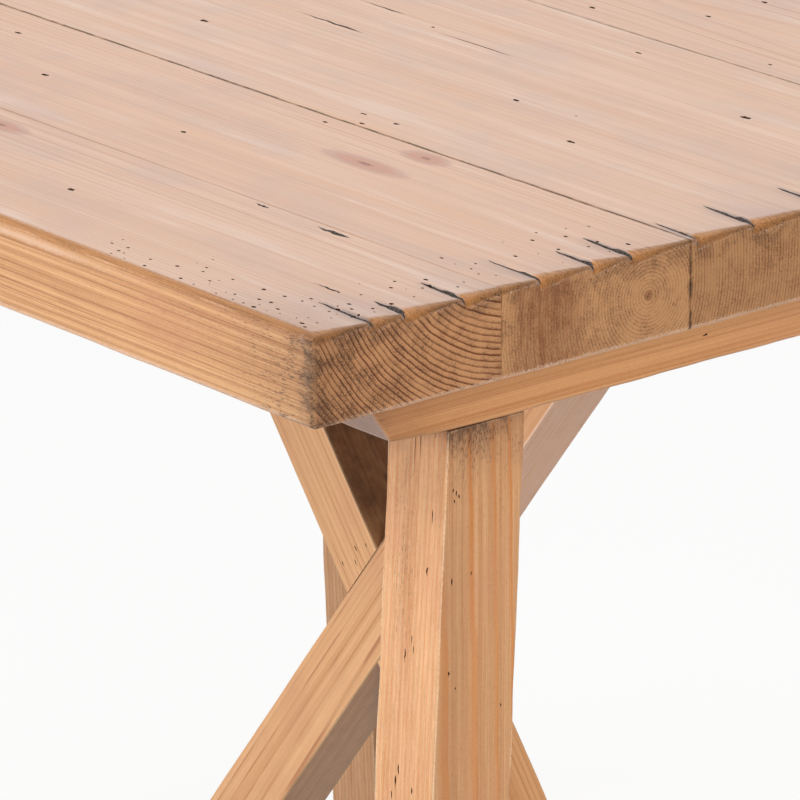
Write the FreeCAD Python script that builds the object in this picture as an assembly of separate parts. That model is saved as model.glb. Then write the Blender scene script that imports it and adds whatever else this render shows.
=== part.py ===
import FreeCAD, Part
import math
import os

# Square dining table of thick old pine boards. Four posts, splayed a little across the table, stand under
# two end battens, and one crossed pair of sawbuck legs stands under the middle, along the boards.
# Millimetres. The origin is on the floor under the middle of the top, +Z is up, the boards run along X
# and the battens lie across them along Y.

# Top
table_height = 766.0
top_length = 1047.0
top_thickness = 49.0
board_widths = [120.0, 127.0, 237.0, 232.0, 134.0, 125.0]
top_arris = 4.0
corner_radius = 6.0
joint_ease = 1.0

# Loose tongues glued between the boards, stopped short of the end grain
spline_thickness = 12.0
spline_width = 30.0
spline_stop = 45.0
spline_clearance = 0.1

# End battens, undercut at both ends
batten_height = 48.5
batten_thickness = 58.0
batten_setback = 63.5
batten_side_gap = 103.0
batten_undercut = 35.0
batten_arris = 5.0

# Posts under the end battens, splayed, with the outer face leaning a little more than the inner one
leg_depth = 48.0
leg_width = 52.0
leg_behind_batten = 2.0
leg_side_gap = 141.0
leg_splay = 2.4
leg_flare = 0.5
leg_arris = 3.0

# Sawbuck legs, halved into each other where they cross
sawbuck_width = 45.0
sawbuck_thickness = 43.5
sawbuck_lean = 37.7
sawbuck_crossing_drop = 317.0
sawbuck_offset = 7.5
sawbuck_arris = 2.5

# Cleats that take the tops of the sawbuck legs
cleat_height = 33.5
cleat_thickness = 77.0
cleat_side_gap = 173.0
cleat_arris = 3.0

# Stub tenons and the pegs that lock them
leg_tenon_depth = 24.0
leg_tenon_width = 26.0
leg_tenon_height = 28.0
sawbuck_tenon_depth = 24.0
sawbuck_tenon_width = 22.0
sawbuck_tenon_height = 21.0
tenon_clearance = 0.2
tenon_end_room = 1.0
peg_diameter = 9.0
peg_past_tenon = 8.0
cross_peg_diameter = 14.0
cross_peg_cover = 8.0

# Screws up through battens and cleats into the boards
screw_diameter = 5.0
screw_head_diameter = 11.0
screw_head_height = 4.0
screw_in_board = 24.0
screw_from_joint = 25.0
batten_screw_grip = 34.0
cleat_screw_grip = 24.0
screw_clearance = 0.5

# Glides nailed under the feet
glide_diameter = 30.0
glide_height = 4.0
glide_nail_diameter = 3.0
glide_nail_length = 18.0

# Values that follow from the sizes above
top_width = sum(board_widths)
board_edges = [sum(board_widths[:count]) - top_width / 2 for count in range(len(board_widths) + 1)]
board_joints = board_edges[1:-1]
top_underside = table_height - top_thickness
batten_underside = top_underside - batten_height
cleat_underside = top_underside - cleat_height
batten_outer = top_length / 2 - batten_setback
batten_inner = batten_outer - batten_thickness
leg_outer = batten_outer - leg_behind_batten
leg_inner = leg_outer - leg_depth
leg_top_face = top_width / 2 - leg_side_gap
leg_drop = batten_underside - glide_height
leg_inner_run = math.tan(math.radians(leg_splay)) * leg_drop
leg_outer_run = math.tan(math.radians(leg_splay + leg_flare)) * leg_drop
sawbuck_slope = math.tan(math.radians(sawbuck_lean))
sawbuck_half_level = sawbuck_width / math.cos(math.radians(sawbuck_lean)) / 2
crossing_height = cleat_underside - sawbuck_crossing_drop
sawbuck_reach = sawbuck_slope * sawbuck_crossing_drop
sawbuck_foot_reach = sawbuck_slope * (crossing_height - glide_height)
up = FreeCAD.Vector(0, 0, 1)
along = FreeCAD.Vector(1, 0, 0)
across = FreeCAD.Vector(0, 1, 0)
origin = FreeCAD.Vector(0, 0, 0)
nearly_one = 0.999
ends = {"right": 1, "left": -1}
sides = {"back": 1, "front": -1}


def save(name, shape):
    shape = shape.Solids[0] if len(shape.Solids) == 1 else Part.makeCompound(shape.Solids)
    shape.exportStep("parts/" + name + ".step")


def block(x_low, x_high, y_low, y_high, z_low, z_high):
    corner = FreeCAD.Vector(x_low, y_low, z_low)
    return Part.makeBox(x_high - x_low, y_high - y_low, z_high - z_low, corner)


def rod(diameter, length, start, direction):
    return Part.makeCylinder(diameter / 2, length, start, direction)


def prism(outline, travel):
    points = [FreeCAD.Vector(*point) for point in outline]
    return Part.Face(Part.makePolygon(points + points[:1])).extrude(travel)


def round_edges(solid, radius, wanted):
    return solid.makeFillet(radius, [edge for edge in solid.Edges if wanted(edge)])


def runs_along(edge, axis):
    start, finish = edge.Vertexes[0].Point, edge.Vertexes[-1].Point
    return abs((finish - start).normalize().dot(axis)) > nearly_one


def lies_at(edge, height):
    return all(abs(vertex.Z - height) < 1e-6 for vertex in edge.Vertexes)


def placed(shape, end, side):
    # Pieces are drawn at the right back corner and mirrored to the others
    if end < 0:
        shape = shape.mirror(origin, along)
    if side < 0:
        shape = shape.mirror(origin, across)
    return shape


# Screws and the room they need

def screw(x, y, seat, grip):
    head = rod(screw_head_diameter, screw_head_height, FreeCAD.Vector(x, y, seat - screw_head_height), up)
    shank = rod(screw_diameter, grip + screw_in_board, FreeCAD.Vector(x, y, seat), up)
    return head.fuse(shank)


def screw_room(x, y, underside, seat):
    bore_start = FreeCAD.Vector(x, y, underside)
    bore = rod(screw_head_diameter + 2 * screw_clearance, seat - underside, bore_start, up)
    hole_start = FreeCAD.Vector(x, y, seat)
    hole = rod(screw_diameter + 2 * screw_clearance, top_underside - seat, hole_start, up)
    return bore.fuse(hole)


def screw_places(joints):
    return [joint + offset for joint in joints for offset in (-screw_from_joint, screw_from_joint)]


batten_screw_x = (batten_outer + batten_inner) / 2
batten_screw_seat = top_underside - batten_screw_grip
batten_screw_y = screw_places(board_joints[1:-1])
cleat_screw_seat = top_underside - cleat_screw_grip
cleat_screw_y = screw_places([joint for joint in board_joints[1:-1] if abs(joint) > sawbuck_thickness])
cleat_places = {name: sawbuck_offset + sign * sawbuck_reach for name, sign in ends.items()}
batten_screws = []
cleat_screws = []
for sign in ends.values():
    for y in batten_screw_y:
        batten_screws.append(screw(sign * batten_screw_x, y, batten_screw_seat, batten_screw_grip))
for x in cleat_places.values():
    for y in cleat_screw_y:
        cleat_screws.append(screw(x, y, cleat_screw_seat, cleat_screw_grip))


# Boards and splines

def top_block():
    half_length, half_width = top_length / 2, top_width / 2
    solid = block(-half_length, half_length, -half_width, half_width, top_underside, table_height)
    solid = round_edges(solid, corner_radius, lambda edge: runs_along(edge, up))
    solid = round_edges(solid, top_arris, lambda edge: lies_at(edge, table_height))
    solid = round_edges(solid, top_arris, lambda edge: lies_at(edge, top_underside))
    for joint in board_joints:
        ease = [(-half_length, joint - joint_ease, table_height),
                (-half_length, joint + joint_ease, table_height),
                (-half_length, joint, table_height - joint_ease)]
        solid = solid.cut(prism(ease, along * top_length))
    return solid


def spline(joint, clearance):
    half_length = top_length / 2 - spline_stop + clearance
    half_width = spline_width / 2 + clearance
    half_thickness = spline_thickness / 2 + clearance
    middle = top_underside + top_thickness / 2
    return block(-half_length, half_length, joint - half_width, joint + half_width,
                 middle - half_thickness, middle + half_thickness)


def board(whole, low, high):
    half_length = top_length / 2
    solid = whole.common(block(-half_length, half_length, low, high, top_underside, table_height))
    for joint in (low, high):
        if joint in board_joints:
            solid = solid.cut(spline(joint, spline_clearance))
    for fastener in batten_screws + cleat_screws:
        if low < fastener.BoundBox.Center.y < high:
            solid = solid.cut(fastener)
    return solid


# Battens and posts

def leg_tenon(clearance, end_room):
    x_middle = (leg_outer + leg_inner) / 2
    y_middle = leg_top_face - leg_width / 2
    half_depth = leg_tenon_depth / 2 + clearance
    half_width = leg_tenon_width / 2 + clearance
    return block(x_middle - half_depth, x_middle + half_depth, y_middle - half_width, y_middle + half_width,
                 batten_underside, batten_underside + leg_tenon_height + end_room)


def leg_peg():
    # Driven from the hidden inner face of the batten, through the tenon and a little into the far cheek
    y_middle = leg_top_face - leg_width / 2
    start = FreeCAD.Vector(batten_inner, y_middle, batten_underside + leg_tenon_height / 2)
    finish_x = (leg_outer + leg_inner + leg_tenon_depth) / 2 + peg_past_tenon
    return rod(peg_diameter, finish_x - batten_inner, start, along)


def batten():
    undercut = batten_height * math.tan(math.radians(batten_undercut))
    low_end = top_width / 2 - batten_side_gap
    outline = [(batten_inner, -low_end, batten_underside),
               (batten_inner, low_end, batten_underside),
               (batten_inner, low_end + undercut, top_underside),
               (batten_inner, -low_end - undercut, top_underside)]
    solid = prism(outline, along * batten_thickness)
    solid = round_edges(solid, batten_arris, lambda edge: lies_at(edge, batten_underside))
    for side in sides.values():
        solid = solid.cut(placed(leg_tenon(tenon_clearance, tenon_end_room), 1, side))
        solid = solid.cut(placed(leg_peg(), 1, side))
    for y in batten_screw_y:
        solid = solid.cut(screw_room(batten_screw_x, y, batten_underside, batten_screw_seat))
    return solid


def leg():
    outline = [(leg_inner, leg_top_face, batten_underside),
               (leg_inner, leg_top_face - leg_width, batten_underside),
               (leg_inner, leg_top_face - leg_width + leg_inner_run, glide_height),
               (leg_inner, leg_top_face + leg_outer_run, glide_height)]
    solid = prism(outline, along * leg_depth)
    solid = round_edges(solid, leg_arris, lambda edge: edge.Length > batten_underside / 2)
    solid = solid.fuse(leg_tenon(0, 0)).removeSplitter()
    solid = solid.cut(leg_peg())
    return solid.cut(glide(*leg_foot()))


def leg_foot():
    foot_middle = leg_top_face + (leg_outer_run + leg_inner_run - leg_width) / 2
    return (leg_outer + leg_inner) / 2, foot_middle


# Sawbuck legs and cleats, drawn rising to the right or to the left

def sawbuck_bar(rise):
    half = sawbuck_thickness / 2
    top_x = sawbuck_offset + rise * sawbuck_reach
    foot_x = sawbuck_offset - rise * sawbuck_foot_reach
    outline = [(foot_x - sawbuck_half_level, -half, glide_height),
               (foot_x + sawbuck_half_level, -half, glide_height),
               (top_x + sawbuck_half_level, -half, cleat_underside),
               (top_x - sawbuck_half_level, -half, cleat_underside)]
    solid = prism(outline, across * sawbuck_thickness)
    return round_edges(solid, sawbuck_arris, lambda edge: edge.Length > cleat_underside / 2)


def sawbuck_tenon(rise, clearance, end_room):
    x_middle = sawbuck_offset + rise * sawbuck_reach
    half_depth = sawbuck_tenon_depth / 2 + clearance
    half_width = sawbuck_tenon_width / 2 + clearance
    return block(x_middle - half_depth, x_middle + half_depth, -half_width, half_width,
                 cleat_underside, cleat_underside + sawbuck_tenon_height + end_room)


def sawbuck_peg(rise):
    start_x = sawbuck_offset + rise * (sawbuck_reach - cleat_thickness / 2)
    start = FreeCAD.Vector(start_x, 0, cleat_underside + sawbuck_tenon_height / 2)
    length = (cleat_thickness + sawbuck_tenon_depth) / 2 + peg_past_tenon
    return rod(peg_diameter, length, start, along * rise)


def cross_peg():
    # Driven from the back, through both halves of the lap and short of the front face
    start = FreeCAD.Vector(sawbuck_offset, sawbuck_thickness / 2, crossing_height)
    return rod(cross_peg_diameter, sawbuck_thickness - cross_peg_cover, start, -across)


def sawbuck_leg(rise, lap_side):
    # Each leg loses half its thickness where the other passes, on the side named by lap_side
    half = sawbuck_thickness / 2
    lap_reach = 2 * sawbuck_half_level / sawbuck_slope
    lap_low, lap_high = sorted((0, lap_side * half))
    lap_room = block(sawbuck_offset - lap_reach, sawbuck_offset + lap_reach, lap_low, lap_high,
                     crossing_height - lap_reach, crossing_height + lap_reach)
    plain_outline = sawbuck_outline_at_crossing(-rise, lap_reach, lap_low)
    notch = prism(plain_outline, across * half).common(lap_room)
    solid = sawbuck_bar(rise).fuse(sawbuck_tenon(rise, 0, 0)).removeSplitter()
    solid = solid.cut(notch).cut(cross_peg()).cut(sawbuck_peg(rise))
    return solid.cut(glide(*sawbuck_foot(rise)))


def sawbuck_outline_at_crossing(rise, reach, y):
    # Level slices of a leg, above and below the crossing
    shift = rise * sawbuck_slope * reach
    low, high = crossing_height - reach, crossing_height + reach
    return [(sawbuck_offset - shift - sawbuck_half_level, y, low),
            (sawbuck_offset - shift + sawbuck_half_level, y, low),
            (sawbuck_offset + shift + sawbuck_half_level, y, high),
            (sawbuck_offset + shift - sawbuck_half_level, y, high)]


def sawbuck_foot(rise):
    return sawbuck_offset - rise * sawbuck_foot_reach, 0


def cleat(x, rise):
    half_length = top_width / 2 - cleat_side_gap
    solid = block(x - cleat_thickness / 2, x + cleat_thickness / 2, -half_length, half_length,
                  cleat_underside, top_underside)
    solid = round_edges(solid, cleat_arris, lambda edge: lies_at(edge, cleat_underside))
    solid = solid.cut(sawbuck_tenon(rise, tenon_clearance, tenon_end_room)).cut(sawbuck_peg(rise))
    for y in cleat_screw_y:
        solid = solid.cut(screw_room(x, y, cleat_underside, cleat_screw_seat))
    return solid


# Glides

def glide(x, y):
    disc = rod(glide_diameter, glide_height, FreeCAD.Vector(x, y, 0), up)
    nail = rod(glide_nail_diameter, glide_nail_length, FreeCAD.Vector(x, y, glide_height), up)
    return disc.fuse(nail)


# Write every piece
os.makedirs("parts", exist_ok=True)

whole_top = top_block()
for number, (low, high) in enumerate(zip(board_edges, board_edges[1:]), start=1):
    save(f"top_board_{number}", board(whole_top, low, high))
for number, joint in enumerate(board_joints, start=1):
    save(f"board_spline_{number}", spline(joint, 0))

for end, sign in ends.items():
    save(f"end_batten_{end}", placed(batten(), sign, 1))
    save(f"sawbuck_cleat_{end}", cleat(cleat_places[end], sign))
    for side, side_sign in sides.items():
        save(f"leg_{side}_{end}", placed(leg(), sign, side_sign))
        save(f"glide_{side}_{end}", placed(glide(*leg_foot()), sign, side_sign))

save("sawbuck_leg_rising_right", sawbuck_leg(1, 1))
save("sawbuck_leg_rising_left", sawbuck_leg(-1, -1))
save("glide_sawbuck_left", glide(*sawbuck_foot(1)))
save("glide_sawbuck_right", glide(*sawbuck_foot(-1)))

corners = [(sign, side_sign) for sign in ends.values() for side_sign in sides.values()]
save("leg_pegs", Part.makeCompound([placed(leg_peg(), *corner) for corner in corners]))
save("sawbuck_pegs", Part.makeCompound([sawbuck_peg(sign) for sign in ends.values()]))
save("cross_peg", cross_peg())
save("batten_screws", Part.makeCompound(batten_screws))
save("cleat_screws", Part.makeCompound(cleat_screws))
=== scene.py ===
from math import cos, radians, sin, tan

import bpy
import numpy as np
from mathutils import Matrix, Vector


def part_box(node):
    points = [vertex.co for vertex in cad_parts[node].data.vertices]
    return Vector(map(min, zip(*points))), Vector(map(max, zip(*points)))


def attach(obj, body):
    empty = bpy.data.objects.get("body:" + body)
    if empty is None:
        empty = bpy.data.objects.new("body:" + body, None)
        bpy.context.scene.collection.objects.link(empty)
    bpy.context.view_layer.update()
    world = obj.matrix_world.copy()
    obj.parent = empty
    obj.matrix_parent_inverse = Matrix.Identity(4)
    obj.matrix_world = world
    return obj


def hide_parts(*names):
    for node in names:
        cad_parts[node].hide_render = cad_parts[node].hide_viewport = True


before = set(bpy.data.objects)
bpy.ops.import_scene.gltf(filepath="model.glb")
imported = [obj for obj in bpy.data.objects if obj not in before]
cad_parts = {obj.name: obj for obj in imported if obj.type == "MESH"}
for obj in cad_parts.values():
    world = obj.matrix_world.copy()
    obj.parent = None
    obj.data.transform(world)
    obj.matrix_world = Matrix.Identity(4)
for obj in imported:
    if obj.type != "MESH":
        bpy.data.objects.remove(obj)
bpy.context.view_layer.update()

# Old pine sawbuck table. Shapes are worked out in millimetres and go into the meshes in metres.
mm = 0.001
alongX, alongY, upward = (1.0, 0.0, 0.0), (0.0, 1.0, 0.0), (0.0, 0.0, 1.0)
white = (1.0, 1.0, 1.0, 1.0)


def addObject(name, data):
    made = bpy.data.objects.new(name, data)
    bpy.context.scene.collection.objects.link(made)
    return made


cameraLook = {
    "aim": (0.5465, -0.4526, 0.7318),
    "azimuth": radians(50.20),
    "elevation": radians(18.74),
    "distance": 3.2803,
    "lens": 302.1,
    "sensor": 36.0,
}


def makeCamera(look):
    # stands back from the aim point along the line that azimuth and elevation give
    flat = cos(look["elevation"])
    back = Vector((sin(look["azimuth"]) * flat, -cos(look["azimuth"]) * flat, sin(look["elevation"])))
    data = bpy.data.cameras.new("camera")
    data.lens = look["lens"]
    data.sensor_width = look["sensor"]
    data.clip_end = 100.0
    camera = addObject("camera", data)
    camera.location = Vector(look["aim"]) + back * look["distance"]
    camera.rotation_euler = back.to_track_quat("Z", "Y").to_euler()
    bpy.context.scene.camera = camera


makeCamera(cameraLook)
bpy.context.scene.view_settings.view_transform = "Standard"
print("camera set")


class Field:
    # one socket of a node tree; arithmetic on it adds Math nodes
    def __init__(self, tree, socket=None):
        self.tree = tree
        self.socket = socket

    def node(self, kind, settings, inputs, output=0):
        made = self.tree.nodes.new(kind)
        for name, value in settings.items():
            setattr(made, name, value)
        for name, value in inputs.items():
            if isinstance(value, Field):
                self.tree.links.new(value.socket, made.inputs[name])
            else:
                made.inputs[name].default_value = value
        return Field(self.tree, made.outputs[output] if len(made.outputs) else None)

    def also(self, output):
        return Field(self.tree, self.socket.node.outputs[output])

    def place(self):
        return self.node("ShaderNodeTexCoord", {}, {}, "Object")

    def maths(self, operation, *values):
        inputs = dict(enumerate((self,) + values))
        return self.node("ShaderNodeMath", {"operation": operation}, inputs)

    def vector(self, operation, inputs, output=0):
        return self.node("ShaderNodeVectorMath", {"operation": operation}, {0: self, **inputs}, output)

    def __add__(self, other):
        return self.maths("ADD", other)

    def __mul__(self, other):
        return self.maths("MULTIPLY", other)

    def __sub__(self, other):
        return self.maths("SUBTRACT", other)

    def __truediv__(self, other):
        return self.maths("DIVIDE", other)

    def __rsub__(self, other):
        return self.node("ShaderNodeMath", {"operation": "SUBTRACT"}, {0: other, 1: self})

    __radd__ = __add__
    __rmul__ = __mul__

    def clamped(self):
        return self.maths("MINIMUM", 1.0).maths("MAXIMUM", 0.0)

    def band(self, low, high):
        # 0 at low and 1 at high, with a smooth rise between
        limits = {"Value": self, "From Min": low, "From Max": high}
        return self.node("ShaderNodeMapRange", {"interpolation_type": "SMOOTHSTEP"}, limits)

    def mix(self, first, second):
        # this field is the share of the second colour
        return self.node("ShaderNodeMix", {"data_type": "RGBA"}, {0: self, 6: first, 7: second}, 2)

    def dot(self, direction):
        return self.vector("DOT_PRODUCT", {1: direction}, "Value")

    def noise(self, scales, detail, rough, seed=0.0):
        # noise of the three coordinates, each times its own scale and moved by the seed
        stretched = self.vector("MULTIPLY_ADD", {1: scales, 2: (seed, seed * 1.7, seed * 0.6)})
        inputs = {"Vector": stretched, "Scale": 1.0, "Detail": detail, "Roughness": rough}
        return self.node("ShaderNodeTexNoise", {}, inputs)


def shade(red, green, blue):
    # a colour as the screen shows it, 0 to 255, turned linear
    parts = [part / 255 for part in (red, green, blue)]
    return tuple(p / 12.92 if p <= 0.04045 else ((p + 0.055) / 1.055) ** 2.4 for p in parts) + (1.0,)


def newMaterial(name):
    material = bpy.data.materials.new(name)
    material.use_nodes = True
    material.node_tree.nodes.clear()
    return material, Field(material.node_tree)


def surface(start, inputs):
    shader = start.node("ShaderNodeBsdfPrincipled", {}, inputs)
    start.node("ShaderNodeOutputMaterial", {}, {"Surface": shader})


# Light

studio = {
    "fill": 0.18,  # white all round
    "lamps": [  # name, place, aim, size, power, colour
        ("key", (-1.0, -3.3, 1.5), (0.2, -0.2, 0.5), 2.8, 83.0, (1.0, 0.99, 0.97)),
        ("front", (2.9, -1.7, 1.6), (0.3, -0.2, 0.55), 1.2, 61.0, (1.0, 0.87, 0.72)),
        ("above", (-0.5, 0.8, 3.6), (0.1, 0.0, 0.7), 3.0, 69.0, (1.0, 1.0, 1.0)),
    ],
    "floorSize": 14.0,
    "floorWhite": 0.87,  # how much of its shadow the floor hides from the camera
    "floorColour": shade(178, 178, 181),
}


def seenDirectly(start):
    # 1 for what the camera, a reflection or a clear material sees
    path = start.node("ShaderNodeLightPath", {}, {}, "Is Camera Ray")
    mirrored = path.also("Is Glossy Ray").maths("MAXIMUM", path.also("Is Transmission Ray"))
    return path.maths("MAXIMUM", mirrored)


def makeLight(look):
    world = bpy.data.worlds.new("white room")
    bpy.context.scene.world = world
    world.use_nodes = True
    world.node_tree.nodes.clear()
    start = Field(world.node_tree)
    strength = seenDirectly(start) * (1.0 - look["fill"]) + look["fill"]
    glow = start.node("ShaderNodeBackground", {}, {"Color": white, "Strength": strength})
    start.node("ShaderNodeOutputWorld", {}, {"Surface": glow})
    for name, place, aim, size, power, colour in look["lamps"]:
        lamp = bpy.data.lights.new(name, "AREA")
        lamp.energy = power
        lamp.size = size
        lamp.color = colour
        holder = addObject(name, lamp)
        holder.location = place
        holder.rotation_euler = (Vector(place) - Vector(aim)).to_track_quat("Z", "Y").to_euler()


def makeFloor(look):
    half = look["floorSize"] / 2
    corners = [(-half, -half, 0), (half, -half, 0), (half, half, 0), (-half, half, 0)]
    mesh = bpy.data.meshes.new("floor")
    mesh.from_pydata(corners, [], [(0, 1, 2, 3)])
    floor = addObject("floor", mesh)
    material, start = newMaterial("pale floor")
    direct = seenDirectly(start)
    matt = start.node("ShaderNodeBsdfDiffuse", {}, {"Color": direct.mix(look["floorColour"], white)})
    glow = start.node("ShaderNodeEmission", {}, {"Color": white, "Strength": 1.0})
    both = start.node("ShaderNodeMixShader", {}, {0: direct * look["floorWhite"], 1: matt, 2: glow})
    under = start.node("ShaderNodeNewGeometry", {}, {}, "Backfacing")  # from below the floor is clear
    clear = start.node("ShaderNodeBsdfTransparent", {}, {})
    both = start.node("ShaderNodeMixShader", {}, {0: under, 1: both, 2: clear})
    start.node("ShaderNodeOutputMaterial", {}, {"Surface": both})
    mesh.materials.append(material)


makeLight(studio)
makeFloor(studio)
print("light and floor set")


# Shapes

def ruler(low, high, fine, coarse, rim):
    # places from low to high, fine steps within rim of both ends and coarse ones further in
    far = np.linspace(low, high, 4000)
    gap = np.minimum(far - low, high - far)
    step = fine + (coarse - fine) * np.clip((gap - rim) / (4 * rim), 0, 1)
    count = np.concatenate([[0], np.cumsum(np.diff(far) / step[1:])])
    return np.interp(np.linspace(0, count[-1], int(np.ceil(count[-1])) + 1), count, far)


def waver(along, seed, length):
    # sum of four sine waves, each about half as long as the one before, from -1 to 1
    draw = np.random.default_rng(seed)
    total = np.zeros_like(along)
    for octave in range(4):
        wave = length * 0.55 ** octave * draw.uniform(0.8, 1.25)
        total += 0.5 ** octave * np.sin(2 * np.pi * (along / wave + draw.random()))
    return total / 1.9


def latticeShell(counts):
    # quads of the six sides of a box lattice: each side is the grid of its two other axes, turned outwards
    sides = []
    for axis in range(3):
        u, v = (axis + 1) % 3, (axis + 2) % 3
        gridU, gridV = np.meshgrid(np.arange(counts[u] - 1), np.arange(counts[v] - 1), indexing="ij")
        corners = [(gridU, gridV), (gridU + 1, gridV), (gridU + 1, gridV + 1), (gridU, gridV + 1)]
        for end in (0, counts[axis] - 1):
            place = np.empty(gridU.shape + (4, 3), int)
            for corner, (cornerU, cornerV) in enumerate(corners if end else corners[::-1]):
                place[..., corner, axis] = end
                place[..., corner, u] = cornerU
                place[..., corner, v] = cornerV
            sides.append(place.reshape(-1, 4, 3))
    keys = np.ravel_multi_index(np.moveaxis(np.concatenate(sides), -1, 0), counts)
    used, quads = np.unique(keys, return_inverse=True)
    return np.stack(np.unravel_index(used, counts), 1), quads.reshape(-1, 4)


wearWaves = {"edge": 90.0, "along": 260.0, "across": 70.0}  # lengths of the longest waves


def roundEdges(points, low, high, axis, radii, wear, seed):
    # beside the four edges along an axis, what lies outside a quarter circle moves onto it;
    # the circle's radius wavers along the edge
    u, v = (axis + 1) % 3, (axis + 2) % 3
    for sideU, sideV in np.ndindex(2, 2):
        change = waver(points[:, axis], seed + 10 * axis + 2 * sideU + sideV, wearWaves["edge"])
        radius = radii[sideU][sideV]
        radius = (radius(points[:, axis]) if callable(radius) else radius) * (1 + wear * change)
        overU = radius - np.abs(points[:, u] - (low, high)[sideU][u])
        overV = radius - np.abs(points[:, v] - (low, high)[sideV][v])
        reach = np.hypot(overU, overV)
        outside = (overU > 0) & (overV > 0) & (reach > radius)
        pull = np.where(outside, 1 - radius / np.maximum(reach, 1e-9), 0)
        points[:, u] += (1 - 2 * sideU) * pull * overU
        points[:, v] += (1 - 2 * sideV) * pull * overV


def wornBlock(low, high, steps, arrises, wear, ripple, seed):
    # a box whose faces sink in slow ripples, a little and only inwards, and whose edges are worn round
    lines = [ruler(low[axis], high[axis], *steps[axis]) for axis in range(3)]
    lattice, quads = latticeShell([len(line) for line in lines])
    points = np.stack([lines[axis][lattice[:, axis]] for axis in range(3)], 1)
    sunk = points.copy()
    for axis in range(3):
        u, v = (axis + 1) % 3, (axis + 2) % 3
        wave = waver(points[:, u], seed + 41 + axis, wearWaves["along"])
        wave = wave + waver(points[:, v], seed + 51 + axis, wearWaves["across"])
        depth = ripple * np.clip(0.5 + 0.25 * wave, 0, 1)
        sunk[:, axis] += np.where(lattice[:, axis] == 0, depth, 0)
        sunk[:, axis] -= np.where(lattice[:, axis] == len(lines[axis]) - 1, depth, 0)
    for axis in range(3):
        roundEdges(sunk, low, high, axis, arrises[axis], wear, seed)
    return sunk, quads


def wornBar(low, high, look, seed):
    # a worn block with one radius on all its edges
    arrises = (((look["arris"],) * 2,) * 2,) * 3
    return wornBlock(low, high, look["steps"], arrises, look["wear"], look["ripple"], seed)


def newPiece(name, points, faces, material):
    mesh = bpy.data.meshes.new(name)
    mesh.from_pydata((np.asarray(points) * mm).tolist(), [], [list(face) for face in faces])
    mesh.materials.append(material)
    return addObject(name, mesh)


def tube(rings):
    # a row of closed rings joined into one closed skin, with a flat cap on both ends
    count, size = rings.shape[:2]
    first, spot = np.meshgrid(np.arange(count - 1) * size, np.arange(size), indexing="ij")
    after = (spot + 1) % size
    quads = np.stack([first + spot, first + after, first + size + after, first + size + spot], -1)
    caps = [list(range(size))[::-1], list(range((count - 1) * size, count * size))]
    return rings.reshape(-1, 3), quads.reshape(-1, 4).tolist() + caps


def turned(rings):
    # closes the rings, and turns the skin so that its volume is positive
    points, faces = tube(rings)
    quads = np.array(faces[:-2])
    a, b, c = (points[quads[:, corner]] - points.mean(0) for corner in (0, 1, 2))
    if np.einsum("ij,ij->", a, np.cross(b, c)) < 0:
        faces = [face[::-1] for face in faces]
    return points, faces


def skin(x, y, z):
    # the rings that three arrays give together, closed
    return turned(np.stack(np.broadcast_arrays(x, y, z), -1))


def joined(parts):
    points, faces, count = [], [], 0
    for partPoints, partFaces in parts:
        points.append(partPoints)
        faces += [[number + count for number in face] for face in partFaces]
        count += len(partPoints)
    return np.concatenate(points), faces


def cutAway(piece, parts, material):
    # takes the parts' volume out of the piece; the cut walls get the material
    cutter = newPiece("cutter", *joined(parts), material)
    cut = piece.modifiers.new("cut", "BOOLEAN")
    cut.operation = "DIFFERENCE"
    cut.solver = "MANIFOLD"
    cut.material_mode = "TRANSFER"
    cut.object = cutter
    graph = bpy.context.evaluated_depsgraph_get()
    done = bpy.data.meshes.new_from_object(piece.evaluated_get(graph))
    piece.modifiers.clear()
    old = piece.data
    piece.data = done
    done.name = piece.name
    bpy.data.meshes.remove(old)
    bpy.data.meshes.remove(cutter.data)


def vertices(piece):
    flat = np.empty(len(piece.data.vertices) * 3)
    piece.data.vertices.foreach_get("co", flat)
    return flat.reshape(-1, 3) / mm


def brush(piece, **marks):
    for name, values in marks.items():
        layer = piece.data.attributes.new(name, "FLOAT", "POINT")
        layer.data.foreach_set("value", np.asarray(values, np.float32))


def fade(gap, mark):
    # the strength of a mark, falling off over its reach
    return mark[0] * np.exp(-gap / mark[1])


def hump(gap, mark):
    # the strength of a mark, falling off to both sides as a bell does
    return mark[0] * np.exp(-(gap / mark[1]) ** 2)


def edgeGap(points, low, high):
    # how far a point of the skin is from the nearest edge: its second smallest distance to the six faces
    gaps = np.abs(np.concatenate([points - low, high - points], 1))
    return np.sort(gaps, 1)[:, 1]


def finishPiece(piece, node):
    piece.data.shade_smooth()
    piece.data.set_sharp_from_angle(angle=radians(38))
    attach(piece, "root")
    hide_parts(node)


def boxOf(node):
    low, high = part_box(node)
    return np.array(low) / mm, np.array(high) / mm


# Pine

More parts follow.
